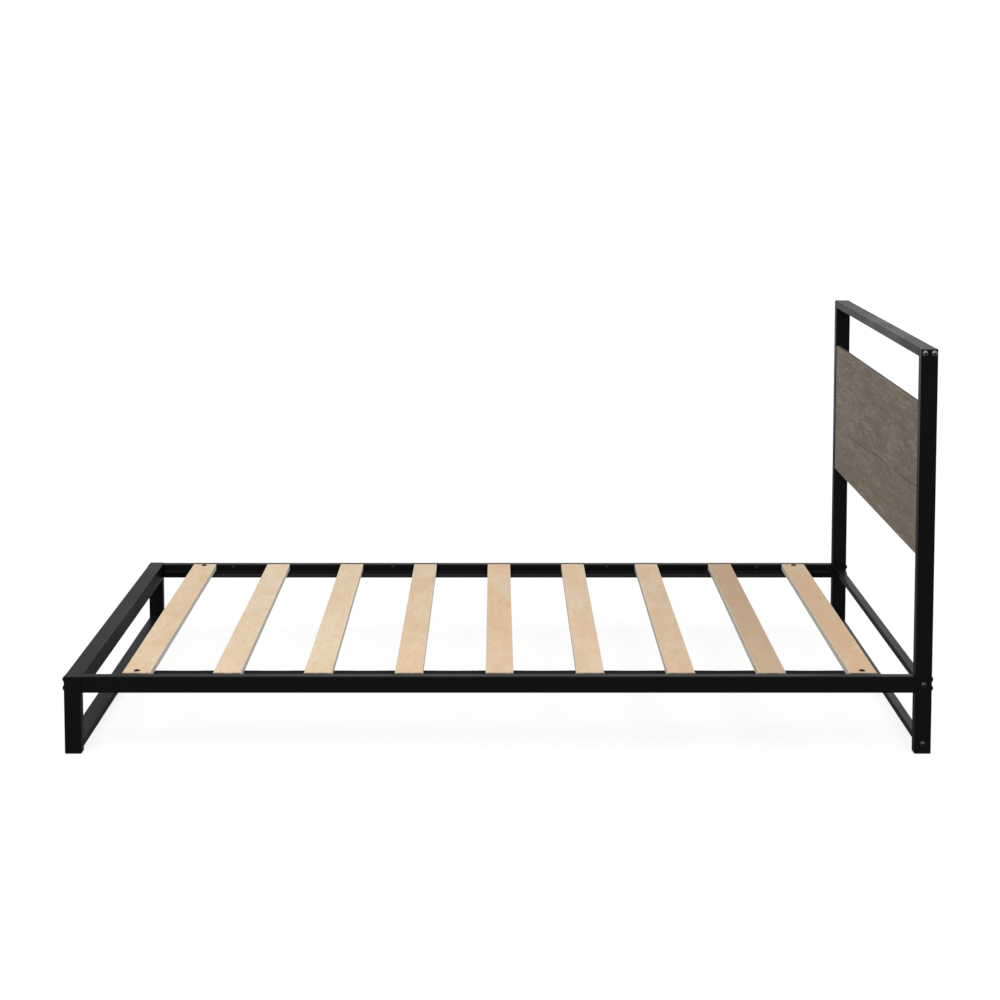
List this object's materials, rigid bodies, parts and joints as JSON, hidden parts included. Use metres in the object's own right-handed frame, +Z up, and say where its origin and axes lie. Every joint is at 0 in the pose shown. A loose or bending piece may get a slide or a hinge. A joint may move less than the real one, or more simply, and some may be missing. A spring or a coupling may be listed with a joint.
{
  "type": "metal bed frame",
  "caption": "Metal platform bed frame with tall posts, a wooden headboard panel and pine slats on side ledges; twin size, carries a mattress with open storage space below.",
  "frame": {"origin": "on the floor, under the middle of the bed's outline", "axes": "+X along the bed towards the headboard, +Y across the bed to its far side, +Z up"},
  "size_m": [1.9662, 1.0002, 0.921],
  "materials": {
    "powder_coat": "satin black powder coat on steel tube",
    "slat_pine": "planed pale pine, unvarnished",
    "panel_veneer": "grey-brown oak-look veneer, matt",
    "black_fastener": "glossy black plated steel",
    "zinc_steel": "bright zinc plate",
    "webbing": "woven black polyester",
    "black_plastic": "moulded black polyethylene"
  },
  "bodies": {
    "root": {"cross_rail_bolts": "black_fastener", "cross_rail_plugs": "zinc_steel", "foot_beam": "powder_coat", "foot_corner_bolts": "black_fastener", "foot_leg_far": "powder_coat", "foot_leg_glides": "black_plastic", "foot_leg_near": "powder_coat", "foot_leg_top_plates": "powder_coat", "foot_stretcher": "powder_coat", "head_corner_bolts": "black_fastener", "head_cross_rail": "powder_coat", "head_post_far": "powder_coat", "head_post_glides": "black_plastic", "head_post_near": "powder_coat", "head_post_top_plates": "powder_coat", "head_stretcher": "powder_coat", "head_stretcher_bolts": "black_fastener", "head_stretcher_plugs": "zinc_steel", "head_top_rail": "powder_coat", "headboard_panel": "panel_veneer", "ledge_rivets": "black_fastener", "panel_brackets": "powder_coat", "panel_screws": "black_fastener", "side_rail_end_plates": "zinc_steel", "side_rail_far": "powder_coat", "side_rail_near": "powder_coat", "slat_1": "slat_pine", "slat_2": "slat_pine", "slat_3": "slat_pine", "slat_4": "slat_pine", "slat_5": "slat_pine", "slat_6": "slat_pine", "slat_7": "slat_pine", "slat_8": "slat_pine", "slat_9": "slat_pine", "slat_bolt_nuts": "black_fastener", "slat_bolts": "black_fastener", "slat_ledge_far": "powder_coat", "slat_ledge_near": "powder_coat", "slat_webbing_far": "webbing", "slat_webbing_near": "webbing", "top_rail_bolts": "black_fastener", "top_rail_end_plates": "zinc_steel", "webbing_staples": "zinc_steel"}
  },
  "joints": []
}
